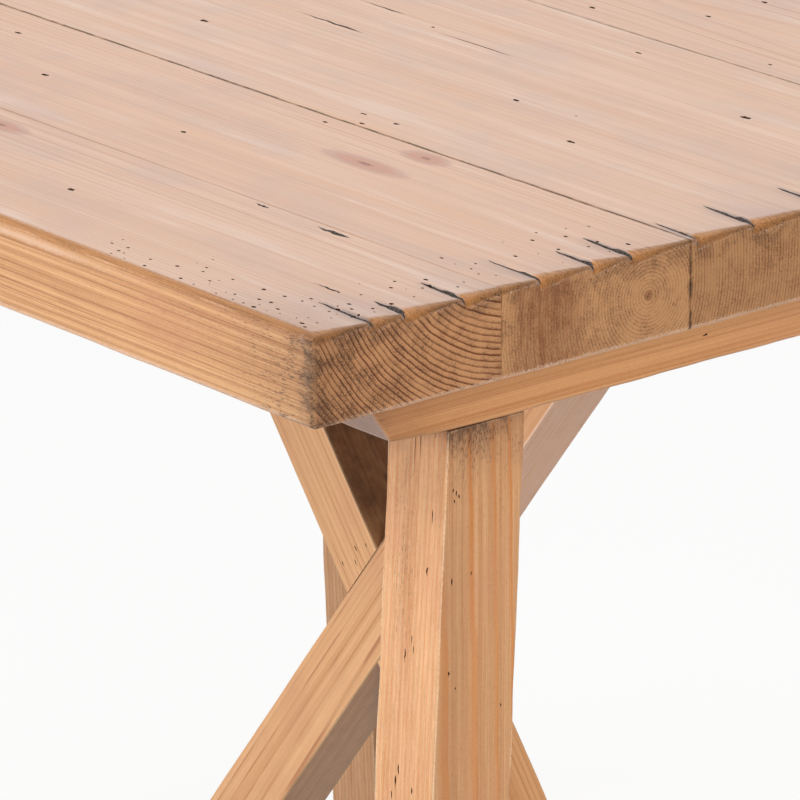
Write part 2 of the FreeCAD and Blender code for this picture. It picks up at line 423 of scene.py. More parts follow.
pine = {
    "grain": alongX,
    "across": alongY,
    "rise": upward,
    "pith": (0.0, 0.0),  # place of the heart of the tree, across and rise
    "spacing": 3.2,  # from ring to ring
    "reach": 0.0,  # rings lie closer outside this distance from the heart
    "tighten": 0.0,
    "wander": 3.0,  # how far the heart strays along the board
    "lineFrom": 0.73,  # share of the ring where the late line of the long grain starts
    "pale": shade(225, 175, 126),
    "dark": shade(164, 107, 64),
    "late": shade(136, 80, 42),  # late lines of the long grain
    "cream": shade(244, 206, 160),
    "blush": shade(206, 148, 112),
    "topPale": shade(224, 194, 175),
    "topDark": shade(190, 140, 115),
    "cloud": shade(198, 175, 168),
    "warm": shade(222, 178, 147),
    "chalk": shade(232, 212, 202),
    "endPale": shade(188, 144, 103),
    "endDark": shade(112, 58, 30),
    # honey of the rubbed arrises on the boards; the bars take a paler colour here, a painted highlight along
    # their arrises
    "honeyAndHighlight": shade(190, 132, 76),
    "rubbed": shade(146, 108, 74),
    # pale torn wood; the sawbuck legs take a paler colour here, painted bounce light
    "torn": shade(228, 194, 170),
    # grey bloom; on the batten ends partly painted cool bounce light
    "ash": shade(158, 142, 140),
    "soil": shade(62, 52, 46),
    "speck": shade(60, 40, 26),
    # dark stain; the sawbuck legs take a darker colour here, painted shade, and on the posts below the
    # battens it is partly painted shade
    "stained": shade(98, 62, 38),
    "rubbedDark": shade(104, 68, 40),
    "knotRim": shade(184, 148, 142),
    "knotWood": shade(196, 144, 124),
    "knotHeart": shade(120, 88, 76),
    "stainBase": shade(104, 62, 36),
    "stainStreak": shade(120, 48, 18),
    "ringShow": 0.6,
    "creamShow": 0.45,  # strength of the pale lines between the late ones
    "fibreShow": 0.9,
    "streakShow": 0.6,
    "broken": 0.0,  # 1 where the late lines are broken into dashes
    "endShow": 0.8,  # strength of the rings in the end grain
    "topShow": 0.0,  # 1 where the upper face has the bleached finish
    # strength of the arris line: honey wear on the boards, a painted highlight on the bars
    "honeyAndHighlightShow": 0.2,
    "arrisWidth": 3.2,
    "speckShow": 0.8,
    "dashShow": 0.3,  # share of the specks that shows in clean long grain
    "stain": None,  # place across and width of a dark streak in the end grain
    "knots": [],  # along, across, length and width on the upper face
    "seed": 0.0,
}

# noises in the wood: scale along the grain and across it, detail, roughness and a seed of its own
pineNoise = {
    "bend": (0.0013, 0.004, 1.0, 0.4, 0),
    "uneven": (0.002, 0.035, 2.0, 0.5, 29),
    "fibre": (0.003, 1.3, 4.0, 0.75, 3),
    "streak": (0.002, 0.16, 3.0, 0.6, 7),
    "pores": (0.28, 1.6, 3.0, 0.7, 11),
    "drift": (0.005, 0.075, 3.0, 0.55, 37),
    "grit": (0.7, 0.7, 3.0, 0.65, 13),
    "patch": (0.012, 0.022, 3.0, 0.55, 17),
    "blot": (0.06, 0.09, 3.0, 0.6, 19),
    "broken": (0.016, 0.2, 2.0, 0.5, 23),
}
brushed = ("edgeGap", "soil", "dirt", "torn", "ash", "rub", "amber", "stained")  # marks on the meshes


def pineMaterial(name, changes):
    wood = dict(pine, **changes)
    seed = wood["seed"]
    material, start = newMaterial(name)
    place = start.place().vector("SCALE", {"Scale": 1 / mm})
    normal = start.node("ShaderNodeNewGeometry", {}, {}, "Normal")
    gap, soil, dirt, tearAndBounceLight, ash, rub, amber, stained = (
        start.node("ShaderNodeAttribute", {"attribute_name": word}, {}, "Fac") for word in brushed)

    def layered(colour, *layers):
        # each layer has its share and the name of its colour
        for share, word in layers:
            colour = share.mix(colour, wood[word])
        return colour

    # trunk coordinates: along the grain, and the two ways across it
    ways = [place.dot(wood[way]) for way in ("grain", "across", "rise")]
    trunk = start.node("ShaderNodeCombineXYZ", {}, dict(enumerate(ways)))
    bend, uneven, fibre, streak, pores, drift, grit, patch, blot, broken = (
        trunk.noise((along, beside, beside), detail, rough, seed + own)
        for along, beside, detail, rough, own in pineNoise.values())
    fibre = fibre.band(0.32, 0.68)
    streak = streak.band(0.25, 0.75)
    gritty, fibrous, streaky, blotty = (each - 0.5 for each in (grit, fibre, streak, blot))
    across = start.node("ShaderNodeSeparateXYZ", {}, {0: trunk}, 1)
    bent = start.node("ShaderNodeSeparateColor", {}, {0: bend.also("Color")}, 0)
    fromX = across - wood["pith"][0] + (bent - 0.5) * wood["wander"] * 2
    fromY = across.also(2) - wood["pith"][1] + (bent.also(1) - 0.5) * wood["wander"] * 2
    radius = (fromX * fromX + fromY * fromY).maths("SQRT")

    # growth rings: pale early wood darkens to the late line, then starts pale again
    beyond = radius - wood["reach"]
    rings = radius / wood["spacing"] + beyond * beyond * wood["tighten"] + uneven * 1.2
    whole = rings.maths("FLOOR")
    part = rings - whole
    lot = start.node("ShaderNodeTexWhiteNoise", {"noise_dimensions": "1D"}, {"W": whole}, "Value")
    ending = part.band(1.0, 0.94) * (lot * 0.6 + 0.4)
    line = part.band(0.5, 0.9) * ending
    thin = part.band(wood["lineFrom"], 0.9) * ending
    top = normal.dot(upward).band(0.2, 0.5) * wood["topShow"]
    end = normal.dot(wood["grain"]).maths("ABSOLUTE").band(0.6, 0.9)

    # long grain: cream to amber, with a pinkish blush in patches
    tone = streaky * wood["streakShow"] + fibrous * wood["fibreShow"] + gritty * 0.4 + 0.35
    dashes = 1 - wood["broken"] * (1 - broken.band(0.46, 0.58))
    bright = part.band(0.3, 0.42) * part.band(0.58, 0.46) * (1 - lot) * wood["creamShow"]
    side = layered(wood["pale"], (tone.clamped(), "dark"), (bright, "cream"),
                   (thin * dashes * wood["ringShow"], "late"), (patch.band(0.48, 0.7) * 0.4, "blush"))

    # the bleached upper face: fainter lines, clouds and knots
    faint = thin * (0.15 + drift * 0.5) + streaky * 0.2 + fibrous * 0.4 + 0.18
    flat = layered(wood["topPale"], (faint.clamped(), "topDark"), (drift.band(0.54, 0.72) * 0.45, "warm"),
                   (drift.band(0.44, 0.28) * 0.45, "chalk"), (patch.band(0.45, 0.68) * 0.35, "cloud"))
    for along, beside, length, width in wood["knots"]:
        moved = (-2 * along / length, -2 * beside / width, 0.0)
        spot = trunk.vector("MULTIPLY_ADD", {1: (2 / length, 2 / width, 0.0), 2: moved})
        far = spot.vector("LENGTH", {}, "Value") + gritty * 0.5
        flat = layered(flat, (far.band(1.25, 0.95) * 0.5, "knotRim"),
                       (far.band(0.95, 0.6) * 0.55, "knotWood"), (far.band(0.28, 0.1) * 0.6, "knotHeart"))

    # end grain: sharp late lines, a darker heart, and a streaked stain
    heart = radius.band(4.0, 1.5) * 0.5
    ringed = line * wood["endShow"] + gritty * 0.8 + blotty * 0.9 + heart + 0.08
    grainEnd = ringed.clamped().mix(wood["endPale"], wood["endDark"])
    if wood["stain"]:
        beside, width = wood["stain"]
        far = (across - beside).maths("ABSOLUTE")
        smear = trunk.noise((0.0, 0.3, 0.035), 4.0, 0.7, seed + 31) + gritty * 0.2
        smear = far.band(width, width * 0.4) * smear.band(0.4, 0.58)
        grainEnd = layered(grainEnd, (far.band(width, width * 0.3) * 0.3, "stainBase"),
                           (smear * 0.4, "stainStreak"))
    colour = end.mix(top.mix(side, flat), grainEnd)

    # upper arrises rubbed to honey, lower ones torn pale, and the torn strips brushed on the mesh; on the
    # bars the pale arris line is a painted highlight, and on the sawbuck legs the pale lower face is painted
    # bounce light
    rubbed = rub * 1.15 + (gritty * 0.9 + fibrous * 0.3) * rub.band(0.0, 0.3) - 0.08
    rubbed = rubbed.band(0.0, 0.95)
    honeyed = (fibrous + gritty * 1.2 + 0.2).maths("MAXIMUM", 0.0)
    honeyAndHighlight = amber.mix(wood["rubbed"], wood["honeyAndHighlight"])
    colour = (rubbed * 0.92).mix(colour, honeyed.mix(honeyAndHighlight, wood["rubbedDark"]))
    ragged = gap + ((patch - 0.5) * 0.8 + gritty) * wood["arrisWidth"]
    wornAndHighlight = ragged.band(wood["arrisWidth"], wood["arrisWidth"] * 0.25) * (1 - rubbed)
    wornAndHighlight = wornAndHighlight * wood["honeyAndHighlightShow"] * (1 - end) * (1 - top)
    strip = tearAndBounceLight * 1.35 + fibrous * 1.4 + gritty * 1.7 + blotty - 0.45
    torn = strip.band(0.05, 0.75) * tearAndBounceLight.band(0.0, 0.25)

    # a grey bloom (partly painted cool bounce light on the batten ends), a stain (painted shade on the
    # sawbuck legs, partly on the posts), broken grime, and specks that lie thickest where the wood is dirty
    bloomAndBounceLight = (ash * (0.6 + patch * 0.8)).maths("MINIMUM", 1.0)
    darkened = (stained * (0.6 + blot * 0.8)).maths("MINIMUM", 1.0)
    grime = soil * (blot.band(0.36, 0.56) * 0.75 + grit * 0.4)
    thick = (end * 0.6 + dirt) * blot.band(0.3, 0.62) + patch.band(0.45, 0.75) * 0.4
    dots = (pores + thick * 0.10 + (part - 0.5) * end * 0.06).band(0.62, 0.69)
    shown = (end + (1 - end) * (wood["dashShow"] + dirt * 0.8)).maths("MINIMUM", 1.0)
    dots = dots * wood["speckShow"] * (1 - top * 0.85) * shown
    colour = layered(colour, (wornAndHighlight, "honeyAndHighlight"), (torn * 0.8, "torn"), (bloomAndBounceLight * 0.8 * (1 - rubbed), "ash"),
                     (darkened, "stained"), (grime * 0.85, "soil"), (dots * 0.9, "speck"))

    height = line * 0.2 + fibre * 0.25 + grit * end * 0.8 - dots * 0.8 + torn * 0.3
    bump = start.node("ShaderNodeBump", {}, {"Strength": 0.3, "Distance": 0.0007, "Height": height})
    rough = 0.45 + top * 0.2 + fibrous * 0.1 + end * 0.2 + torn * 0.15 + grime * 0.15
    surface(start, {"Base Color": colour, "Roughness": rough, "Normal": bump, "Specular IOR Level": 0.35})
    return material


def mottled(name, first, second, scales, limits, rough, fixed):
    # two colours mixed by a fine noise between the limits, which changes the gloss too
    material, start = newMaterial(name)
    speckle = start.place().noise(scales, 3.0, 0.6)
    colour = speckle.band(*limits).mix(first, second)
    surface(start, {"Base Color": colour, "Roughness": speckle * rough[1] + rough[0], **fixed})
    return material


# the walls of holes and splits: dark old wood with a little dust
dusty = ((1700.0,) * 3, (0.35, 0.75), (0.85, -0.1), {"Specular IOR Level": 0.2})
hollowWood = mottled("hollow wood", shade(38, 26, 20), shade(104, 78, 60), *dusty)
splitWood = mottled("grey split wood", shade(52, 46, 44), shade(136, 130, 130), *dusty)


# Top boards

boardWear = {
    "steps": ((0.6, 12.0, 9.0), (0.7, 1.8, 6.0), (0.7, 2.4, 8.0)),
    "endTop": 2.0,  # arris radii
    "endChip": 3.6,  # more beside a split, less and less up to the next one
    "endBottom": 2.8,
    "sideTop": 4.2,
    "sideBottom": 2.2,
    "corner": 6.0,
    "joint": [0.15, 0.5, 0.4, 0.45, 0.4],
    "gaps": [0.02, 0.3, 0.16, 0.2, 0.12],  # half the open joint behind each board
    "jointSoil": [0.1, 0.95, 0.6, 0.7, 0.5],  # and how dark it is
    "wear": 0.3,
    "ripple": 0.35,
    "scoop": 2.0,  # dip of the face beside a split
    "scoopReach": 12.0,  # how far below the top it is felt
    "splitDepth": 4.0,
    "splitSlant": 0.6,
    "splitRoom": 2.5,  # least distance from the board's sides
    "crackDepth": 3.0,
    "wormDepths": (5.0, 9.0),
    "wormRadii": (0.4, 0.65),  # the least, and what is added at most
    "farMarks": (580.0, 960.0),  # from the right end: cracks and bruises at random places
    "farCracks": 2,  # on each board
    "farCrackSizes": ((20.0, 1.4), (55.0, 3.0)),  # least and greatest length and width
    "farBruises": 4,
    "farBruiseSizes": (4.0, 7.0),
}

# heart of the tree from the board's front lower edge, ring spacing and colour of each board, from the front
boardWoods = [
    {"heart": (134.0, 104.5), "spacing": 3.7, "reach": 60.0, "tighten": 0.0006, "endShow": 1.35, "seed": 2.0,
     "endPale": shade(203, 154, 112)},
    {"heart": (99.0, 25.0), "spacing": 2.0, "endShow": 0.4, "endPale": shade(200, 154, 112), "seed": 9.0,
     "topPale": shade(225, 193, 173), "stain": (30.0, 30.0)},
    {"heart": (-70.0, 31.0), "spacing": 2.1, "endShow": 0.6, "topPale": shade(226, 197, 178), "seed": 15.0},
    {"heart": (63.0, -61.0), "spacing": 2.7, "wander": 6.0, "seed": 23.0},
    {"heart": (90.0, 189.0), "spacing": 3.2, "wander": 5.0, "seed": 31.0},
    {"heart": (42.0, -85.0), "spacing": 2.9, "wander": 5.0, "seed": 38.0},
]

# splits at the right end: distance from the front side, length and width at the end
endSplits = [
    (36.5, 42, 4.4), (58, 25, 6.4), (95.5, 34, 5.6), (145, 40, 2.4), (181.5, 30, 5.6),
    (206.5, 38, 6.6), (252, 33, 3.4), (291, 40, 6.4), (342.5, 39, 5.6), (395.5, 29, 4.4),
]

# cracks that stay inside a board: two distances from the right end, one from the front, and a width
cracks = [
    (69, 46, 54, 2.4), (144, 113, 115, 5.5), (194, 180, 116, 3),
    (474, 408, 367, 3), (464, 422, 409.8, 1.8), (390, 316, 400, 1.6),
]

# bruises on the top: distance from the right end, from the front, and length
bruises = [
    (318, 168, 5), (272, 57.5, 6), (454, 177.5, 6), (533, 218, 6), (485, 314, 7),
    (250, 344.5, 6), (171, 315, 7), (278, 459, 6), (145, 417.5, 8), (366, 502, 6),
    (282.6, 264, 5.5), (256.5, 265, 4.5), (284, 238, 4), (269, 251.5, 4), (309.6, 540, 5),
    (311, 585, 5), (392, 405, 4),
]

# knots in the top: distance from the right end, from the front, length and width
topKnots = [(210, 205, 62, 15), (197, 236, 34, 15), (392, 101, 44, 15)]

# swarms of worm holes, by board: how many are tried, ranges from the right end and from the front, and room
wormSwarms = {
    1: [(60, ((14, 190), (6, 40)), 4), (36, ((11, 52), (30, 114)), 5)],
    2: [(22, ((12, 60), (126, 242)), 6)],
}


def split(front, inner, width, depth, slant, rng, top, end):
    # a wedge along the grain that opens towards the end of the board: five-sided sections, wider and deeper
    # from the tip on, a little narrower again over the end, with uneven walls
    share = np.linspace(0, 1, 9)
    along = inner + (end - inner) * share
    middle = front + slant * share + rng.normal(0, 0.25, share.size)
    swell = np.minimum(share ** 0.5, 1.9 - 1.5 * share)
    half = 0.3 + width / 2 * swell * rng.uniform(0.75, 1.2, share.size)
    deep = 1.2 + depth * np.minimum(share ** 0.6, 1.9 - 1.3 * share) * rng.uniform(0.85, 1.15, share.size)
    sideways = np.array([-1.0, 1.0, 0.85, 0.5, -0.6])
    down = np.array([-3.0, -3.0, 0.35, 1.0, 0.45])
    across = middle[:, None] + half[:, None] * sideways
    return skin(along[:, None], across, top - np.where(down < 0, down, deep[:, None] * down))


def nick(middle, along, out, length, width, depth, rng):
    # a wedge closed at both tips, wider towards its last third, cut along a direction into the face
    # that looks out
    along = np.array(along, float)
    out = np.array(out, float)
    share = np.linspace(0, 1, 9)
    swell = np.sin(np.pi * share ** 1.7) ** 0.8
    half = 0.12 + width / 2 * swell * rng.uniform(0.75, 1.2, share.size)
    deep = 0.3 + depth * swell
    sideways = np.array([-1.0, 1.0, 0.4])
    down = np.array([-1.5, -1.5, 1.0])
    path = middle + np.outer(share - 0.5, along) * length
    path = path + np.outer(rng.normal(0, 0.12 * width, share.size), np.cross(out, along))
    rings = path[:, None] + (half[:, None] * sideways)[..., None] * np.cross(out, along)
    rings = rings - np.where(down < 0, down, deep[:, None] * down)[..., None] * out
    return turned(rings)


def wormHole(along, front, radius, depth, rng, top):
    # an eight-sided bore, drawn out along the grain, that leans a little and ends in a blunt tip
    angle = np.linspace(0, 2 * np.pi, 8, endpoint=False)
    level = np.array([1.5, 0.0, -0.8 * depth, -depth])[:, None]
    size = radius * np.array([1.15, 1.0, 0.9, 0.35])[:, None]
    stretch = rng.uniform(1.1, 1.8)
    lean = rng.normal(0, 0.15, 2)
    x = along + level * lean[0] + size * np.cos(angle) * stretch
    return skin(x, front + level * lean[1] + size * np.sin(angle), top + level)


def bruise(along, front, length, rng, top):
    # a flat bowl: rings of an ellipsoid whose middle lies on the face
    angle = np.linspace(0, 2 * np.pi, 12, endpoint=False)
    turn = np.linspace(-0.47 * np.pi, 0.47 * np.pi, 7)[:, None]
    ragged = rng.uniform(0.7, 1.2, 12)
    slim = rng.uniform(0.16, 0.3)
    x = along + length / 2 * np.cos(turn) * np.cos(angle) * ragged
    y = front + length * slim * np.cos(turn) * np.sin(angle) * ragged
    return skin(x, y, top + length / 4 * np.sin(turn))


def chipped(across, splits):
    # 1 just behind a split, falling evenly to 0 at the next one
    marks = np.sort([mark[0] for mark in splits])
    edges = np.concatenate([[marks[0] - 40.0], marks, [marks[-1] + 40.0]])
    number = np.clip(np.searchsorted(edges, across, "right") - 1, 0, len(edges) - 2)
    return np.clip(1 - 1.3 * (across - edges[number]) / (edges[number + 1] - edges[number]), 0, 1)


def scooped(x, y, splits, end, facing):
    # how deep the face dips beside each split: steep at the split, easing off in front of it,
    # and growing from the tip to the end
    depth = np.zeros(len(x))
    inward = facing * (end - x)
    for front, length, width in splits:
        before = front + 0.5 * width - y
        dip = np.where(before > 0, np.exp(-before / 4.5), 0) * np.clip(1 - inward / length, 0, 1) ** 0.7
        dip = dip * np.clip(width / 3.8, 0.5, 1)
        depth = np.maximum(depth, dip)
    return depth


def spread(rng, count, ranges, room):
    # random places in a rectangle, denser towards its first corner, none closer than room to another
    (fromX, toX), (fromY, toY) = ranges
    kept = []
    for shareX, shareY in rng.random((count, 2)) ** 1.5:
        spot = np.array([fromX + (toX - fromX) * shareX, fromY + (toY - fromY) * shareY])
        if all(np.hypot(*(spot - other)) > room for other in kept):
            kept.append(spot)
    return kept


def makeBoard(number, look, changes):
    node = "top_board_%d" % number
    low, high = boxOf(node)
    front = boxOf("top_board_1")[0][1]
    rng = np.random.default_rng(100 + number)
    farRng = np.random.default_rng(300 + number)
    gaps = [0.0] + look["gaps"] + [0.0]
    low[1] += gaps[number - 1]
    high[1] -= gaps[number]

    def own(marks, column, room=0.0):
        # the marks on this board, by the column with their distance from the front
        return [mark for mark in marks if low[1] + room < front + mark[column] < high[1] - room]

    # the first three boards have splits in given places at the right end
    splitsRight = [(front + mark[0],) + mark[1:] for mark in own(endSplits, 0, look["splitRoom"])]
    if number > 3:
        splitsRight = randomSplits(rng, low[1], high[1])
    splitsLeft = randomSplits(rng, low[1], high[1])
    ends = ((splitsRight, high[0], 1), (splitsLeft, low[0], -1))

    def endArris(splits):
        return lambda across: look["endTop"] + look["endChip"] * chipped(across, splits)

    # arris radii along X by Y and Z side, along Y by Z and X side, along Z by X and Y side
    outer = (look["sideBottom"], look["sideTop"])
    upright = ([look["corner"]] + look["joint"] + [look["corner"]])[number - 1:number + 1]
    yLow = outer if number == 1 else (upright[0],) * 2
    yHigh = outer if number == len(boardWoods) else (upright[1],) * 2
    crosswise = ((look["endBottom"],) * 2, (endArris(splitsLeft), endArris(splitsRight)))
    arrises = ((yLow, yHigh), crosswise, (upright, upright))
    points, quads = wornBlock(low, high, look["steps"], arrises, look["wear"], look["ripple"], 7 * number)
    points[:, 2] -= look["scoop"] * dipped(points, ends) * (points[:, 2] > high[2] - look["scoopReach"])
    heart = (low[1] + changes["heart"][0], low[2] + changes["heart"][1])
    knots = [(high[0] - mark[0], front + mark[1]) + mark[2:] for mark in own(topKnots, 1)]
    stain = changes.get("stain") and (low[1] + changes["stain"][0], changes["stain"][1])
    wood = pineMaterial("old pine board %d" % number, dict(
        changes, pith=heart, topShow=1.0, knots=knots, stain=stain))
    piece = newPiece("worn_board_%d" % number, points, quads, wood)

    # splits at both ends and gashes, then bruises and worm holes
    parts = []
    for splits, end, facing in ends:
        for mark, length, width in splits:
            slant = rng.normal(0, look["splitSlant"])
            inner = end - facing * length
            parts.append(split(mark, inner, width, look["splitDepth"], slant, rng, high[2], end + facing * 2))
    for begin, finish, place, width in own(cracks, 2):
        middle = (high[0] - (begin + finish) / 2, front + place, high[2])
        parts.append(nick(middle, alongX, upward, begin - finish, width, look["crackDepth"], rng))
    for inward, place in farPlaces(farRng, look, look["farCracks"], low, high):
        length, width = farRng.uniform(*look["farCrackSizes"])
        middle = (high[0] - inward, place, high[2])
        parts.append(nick(middle, alongX, upward, length, width, look["crackDepth"], farRng))
    cutAway(piece, parts, splitWood)
    parts = []
    for inward, place, length in own(bruises, 1):
        parts.append(bruise(high[0] - inward, front + place, length, rng, high[2]))
    for inward, place in farPlaces(farRng, look, look["farBruises"], low, high):
        length = farRng.uniform(*look["farBruiseSizes"])
        parts.append(bruise(high[0] - inward, place, length, farRng, high[2]))
    for inward, place in wormPlaces(number, rng, low, high, front):
        depth = rng.uniform(*look["wormDepths"])
        radius = look["wormRadii"][0] + look["wormRadii"][1] * rng.random() ** 1.5
        parts.append(wormHole(high[0] - inward, place, radius, depth, rng, high[2]))
    cutAway(piece, parts, hollowWood)
    soils = ([0.0] + look["jointSoil"] + [0.0])[number - 1:number + 1]
    brushBoard(piece, low, high, look, soils, ends, boardMarks)
    finishPiece(piece, node)


def wormPlaces(number, rng, low, high, front):
    # swarms on the first two boards, a few holes on every other one
    if number in wormSwarms:
        places = [spot for swarm in wormSwarms[number] for spot in spread(rng, *swarm)]
        return [(inward, front + place) for inward, place in places]
    return rng.uniform((20, low[1] + 8), (1000, high[1] - 8), (9, 2))


def farPlaces(rng, look, count, low, high):
    # distances from the right end, and places across the board
    nearest, farthest = look["farMarks"]
    return rng.uniform((nearest, low[1] + 10), (farthest, high[1] - 10), (count, 2))


def arrisMask(gapU, gapV, radius):
    # 1 on an arris of this radius, fading just past it on both faces
    return np.clip(1.7 - gapU / radius * 0.9, 0, 1) * np.clip(2.2 - gapV / radius * 1.6, 0, 1)


def dipped(points, ends):
    # the deeper of the dips at both ends
    x, y, z = points.T
    return np.maximum(*(scooped(x, y, *end) for end in ends))


boardMarks = {  # strength and reach
    "endBloom": (0.4, 26.0),  # also the dirt there
    "endDirt": (0.5, 8.0),  # in the end grain, below the upper arris
    "endSoil": (0.25, 4.0),
    "endTorn": (0.42, 1.1),
    "lowerTorn": (1.8, 2.3),  # along the lower edges
    "strip": (0.95, 2.1),  # torn, under the long arris
    "stripTop": 6.6,  # how far below the top
    "stripFrom": (60.0, 170.0),  # start from the right end, and the length over which it grows
    "chip": (1.0, 2.0),
    "jointReach": 0.9,
    "cornerSoil": (0.75, 6.0),
    "cornerDirt": (1.5, 45.0),
    "cornerBloom": (0.5, 70.0),
    "cornerClean": (0.6, 12.0),  # less of the torn wood
    # stains on the boards; the same names on the posts also carry painted shade
    "endStain": (0.4, 24.0),
    "wideStain": (0.1, 120.0),
    "sideStain": (0.4, 60.0),
}


def brushBoard(piece, low, high, look, soils, ends, marks):
    # soft marks on a board: grey bloom and grime beside the splits, at the ends and in the joints,
    # dirt at the outer corners, torn strips under the outer arris and along the lower edges
    points = vertices(piece)
    x, y, z = points.T
    fromRight = high[0] - x
    fromEnd = np.minimum(fromRight, x - low[0])
    fromTop = high[2] - z
    sides = ((y - low[1], soils[0]), (high[1] - y, soils[1]))
    dips = dipped(points, ends)
    chips = np.where(fromRight < 20, *(chipped(y, end[0]) for end in ends))
    radius = look["endTop"] + look["endChip"] * chips
    near = fade(fromEnd, marks["endBloom"])
    flat = fromTop < 1.5 + 4 * dips
    onEnd = fromEnd < 1.5
    ash = np.maximum(1.7 * dips ** 0.6, near) * flat
    soil = hump(fromTop - radius - 3.5, marks["endSoil"]) * onEnd
    soil = np.maximum(soil, 0.8 * dips ** 2.5 * (fromTop < 8))
    dirt = near * (fromTop < 3) + fade(np.maximum(fromTop - radius, 0), marks["endDirt"]) * onEnd
    stained = np.zeros(len(points))
    amber = np.where(fromEnd < 9, chips, 0.85)
    rub = arrisMask(fromEnd, fromTop, radius)
    fromRim = np.minimum.reduce([fromEnd] + [depth for depth, dark in sides if not dark])
    torn = hump(high[2] - low[2] - fromTop, marks["lowerTorn"]) * np.clip(3 - fromRim / 4, 0, 1)
    torn = np.maximum(torn, hump(fromTop - 1.15 * radius, marks["endTorn"]) * onEnd)
    for depth, dark in sides:
        if dark:
            dark = np.where(fromEnd < 2, min(1.0, dark * 2), dark)
            soil = np.maximum(soil, hump(depth, (dark, marks["jointReach"])))
            continue
        corner = np.hypot(fromEnd, depth)
        grimy = hump(fromEnd - depth - 4, marks["cornerSoil"]) * (corner < 14) * (fromTop > 3)
        soil = np.maximum(soil, grimy)
        dirt = np.maximum(dirt, fade(corner, marks["cornerDirt"]))
        ash = np.maximum(ash, hump(corner, marks["cornerBloom"]) * flat)
        ending = (fade(depth, marks["endStain"]) + fade(depth, marks["wideStain"])) * (fromEnd < 2)
        stained = np.maximum(stained, np.maximum(ending, fade(fromEnd, marks["sideStain"]) * (depth < 3)))
        strip = hump(fromTop - marks["stripTop"], marks["strip"]) * (depth < 3)
        strip = strip * np.clip((fromRight - marks["stripFrom"][0]) / marks["stripFrom"][1], 0, 1)
        chip = hump(np.hypot(fromEnd - 10.0, fromTop - 4.0), marks["chip"]) * (depth < 4)
        torn = np.maximum(torn, np.maximum(strip, chip)) * (1 - fade(corner, marks["cornerClean"]))
        rub = np.maximum(rub, arrisMask(depth, fromTop, 0.68 * look["sideTop"]))
    brush(piece, edgeGap=edgeGap(points, low, high), soil=soil, dirt=dirt, torn=torn, ash=ash, rub=rub,
          amber=amber, stained=stained)


def randomSplits(rng, low, high):
    # splits every 30 to 50 mm over the width of a board
    marks = np.arange(low + 14, high - 8, 42.0)
    marks = marks + rng.uniform(-9, 9, marks.size)
    return [(mark, rng.uniform(22, 46), rng.uniform(1.6, 3.8)) for mark in marks]


for number, changes in enumerate(boardWoods, 1):
    makeBoard(number, boardWear, changes)
print("top boards made")


# Bars of the base

barColours = {
    "pale": shade(236, 184, 134),
    "dark": shade(186, 122, 70),
    "late": shade(204, 128, 64),
    "blush": shade(218, 160, 124),
    "endPale": shade(196, 142, 98),
    "endDark": shade(140, 88, 52),
    # painted highlight along the arrises of the bars
    "honeyAndHighlight": shade(252, 218, 172),
    "honeyAndHighlightShow": 0.75,
    "arrisWidth": 1.7,
    "ringShow": 0.3,
    "fibreShow": 0.45,
    "streakShow": 0.5,
    "speckShow": 0.7,
}

battenWear = {
    "steps": ((0.8, 4.0, 7.0), (1.2, 7.0, 8.0), (0.8, 4.0, 7.0)),
    "arris": 3.6,
    "wear": 0.25,
    "ripple": 0.3,
    "undercut": radians(35),
    "spacing": 2.6,
    "dents": [(-172, 684, 5, 1.8), (-124, 690, 9, 1.2)],  # place, level, length and width
    "dentDepth": 1.6,
    "nose": (3.0, 26.0),  # how far the underside rises at the ends, and over which length
    "ash": 0.9,  # on the end grain
    # the batten darkens towards both ends
    "stain": (0.42, 60.0),  # strength and reach from the ends
    "dirt": (0.8, 3.0),
}
pocketRadius = 6.0  # of the screw heads' pockets


def screwHoles(node, side, underside):
    # round pockets for the screw heads: the heads' places come from gaps in the node's vertices
    points = vertices(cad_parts[node])
    x, y, z = points[points[:, 0] * side > 0].T
    lines = np.unique(np.round(y, 2))
    groups = np.split(lines, np.flatnonzero(np.diff(lines) > 12) + 1)
    angle = np.linspace(0, 2 * np.pi, 24, endpoint=False)
    level = np.array([underside - 4, z.min() + 4])[:, None]
    inward = (x.min() + x.max()) / 2 + pocketRadius * np.cos(angle)
    return [skin(inward, group.mean() + pocketRadius * np.sin(angle), level) for group in groups]


